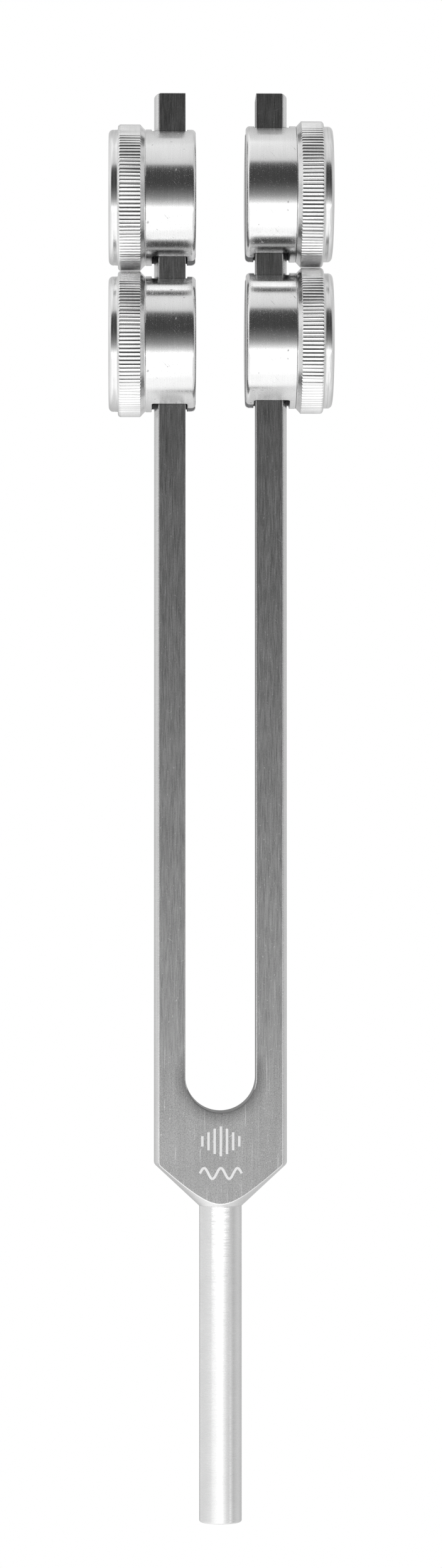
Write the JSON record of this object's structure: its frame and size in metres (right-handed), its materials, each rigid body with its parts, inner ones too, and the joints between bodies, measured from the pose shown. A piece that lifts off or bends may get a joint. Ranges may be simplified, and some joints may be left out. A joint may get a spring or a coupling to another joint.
{
  "type": "weighted tuning fork",
  "caption": "Two-tined tuning fork cut from round bar, with a plain round stem and sliding drum weights clamped to the tines by knurled thumbscrews.",
  "frame": {"origin": "centre of the flat end of the stem", "axes": "+Z from the stem's end to the tops of the tines; the milled flats face -Y and +Y; the thumbscrews point to -X (left) and +X (right)"},
  "size_m": [0.0422, 0.0274, 0.2683],
  "materials": {
    "fork_aluminium": "fine lengthwise brushing on the flats, turned outer sides",
    "stem_aluminium": "turned, fine rings round the axis",
    "drum_aluminium": "smooth turned, bright",
    "knob_aluminium": "smooth turned cap, straight-knurled ring",
    "stud_steel": "plain machined thread",
    "pad_brass": "plain turned"
  },
  "bodies": {
    "fork": {"fork_body": "fork_aluminium", "stem": "stem_aluminium"},
    "left_upper_drum": {"left_upper_drum": "drum_aluminium"},
    "left_upper_pad": {"left_upper_pad": "pad_brass"},
    "left_upper_thumbscrew": {"left_upper_knob": "knob_aluminium", "left_upper_stud": "stud_steel"},
    "left_lower_drum": {"left_lower_drum": "drum_aluminium"},
    "left_lower_pad": {"left_lower_pad": "pad_brass"},
    "left_lower_thumbscrew": {"left_lower_knob": "knob_aluminium", "left_lower_stud": "stud_steel"},
    "right_upper_drum": {"right_upper_drum": "drum_aluminium"},
    "right_upper_pad": {"right_upper_pad": "pad_brass"},
    "right_upper_thumbscrew": {"right_upper_knob": "knob_aluminium", "right_upper_stud": "stud_steel"},
    "right_lower_drum": {"right_lower_drum": "drum_aluminium"},
    "right_lower_pad": {"right_lower_pad": "pad_brass"},
    "right_lower_thumbscrew": {"right_lower_knob": "knob_aluminium", "right_lower_stud": "stud_steel"}
  },
  "joints": [
    {"name": "left_upper_weight_slide", "type": "slide", "parent": "fork", "child": "left_upper_drum", "axis": [0, 0, 1], "range_m": [0, 0.0164]},
    {"name": "left_upper_pad_travel", "type": "slide", "parent": "left_upper_drum", "child": "left_upper_pad", "axis": [-1, 0, 0], "range_m": [0, 0.0017]},
    {"name": "left_upper_thumbscrew_turn", "type": "hinge", "parent": "left_upper_pad", "child": "left_upper_thumbscrew", "pos_m": [-0.0146, 0, 0.2492], "axis": [-1, 0, 0], "range_deg": [0, 720]},
    {"name": "left_lower_weight_slide", "type": "slide", "parent": "fork", "child": "left_lower_drum", "axis": [0, 0, 1], "range_m": [-0.1248, 0]},
    {"name": "left_lower_pad_travel", "type": "slide", "parent": "left_lower_drum", "child": "left_lower_pad", "axis": [-1, 0, 0], "range_m": [0, 0.0017]},
    {"name": "left_lower_thumbscrew_turn", "type": "hinge", "parent": "left_lower_pad", "child": "left_lower_thumbscrew", "pos_m": [-0.0146, 0, 0.22145], "axis": [-1, 0, 0], "range_deg": [0, 720]},
    {"name": "right_upper_weight_slide", "type": "slide", "parent": "fork", "child": "right_upper_drum", "axis": [0, 0, 1], "range_m": [0, 0.0157]},
    {"name": "right_upper_pad_travel", "type": "slide", "parent": "right_upper_drum", "child": "right_upper_pad", "axis": [1, 0, 0], "range_m": [0, 0.0017]},
    {"name": "right_upper_thumbscrew_turn", "type": "hinge", "parent": "right_upper_pad", "child": "right_upper_thumbscrew", "pos_m": [0.0146, 0, 0.2499], "axis": [1, 0, 0], "range_deg": [0, 720]},
    {"name": "right_lower_weight_slide", "type": "slide", "parent": "fork", "child": "right_lower_drum", "axis": [0, 0, 1], "range_m": [-0.1253, 0]},
    {"name": "right_lower_pad_travel", "type": "slide", "parent": "right_lower_drum", "child": "right_lower_pad", "axis": [1, 0, 0], "range_m": [0, 0.0017]},
    {"name": "right_lower_thumbscrew_turn", "type": "hinge", "parent": "right_lower_pad", "child": "right_lower_thumbscrew", "pos_m": [0.0146, 0, 0.22215], "axis": [1, 0, 0], "range_deg": [0, 720]}
  ],
  "couplings": [
    {"joint": "left_upper_pad_travel", "follows": "left_upper_thumbscrew_turn", "m_per_rad": 0.00012732},
    {"joint": "left_lower_pad_travel", "follows": "left_lower_thumbscrew_turn", "m_per_rad": 0.00012732},
    {"joint": "right_upper_pad_travel", "follows": "right_upper_thumbscrew_turn", "m_per_rad": 0.00012732},
    {"joint": "right_lower_pad_travel", "follows": "right_lower_thumbscrew_turn", "m_per_rad": 0.00012732}
  ]
}
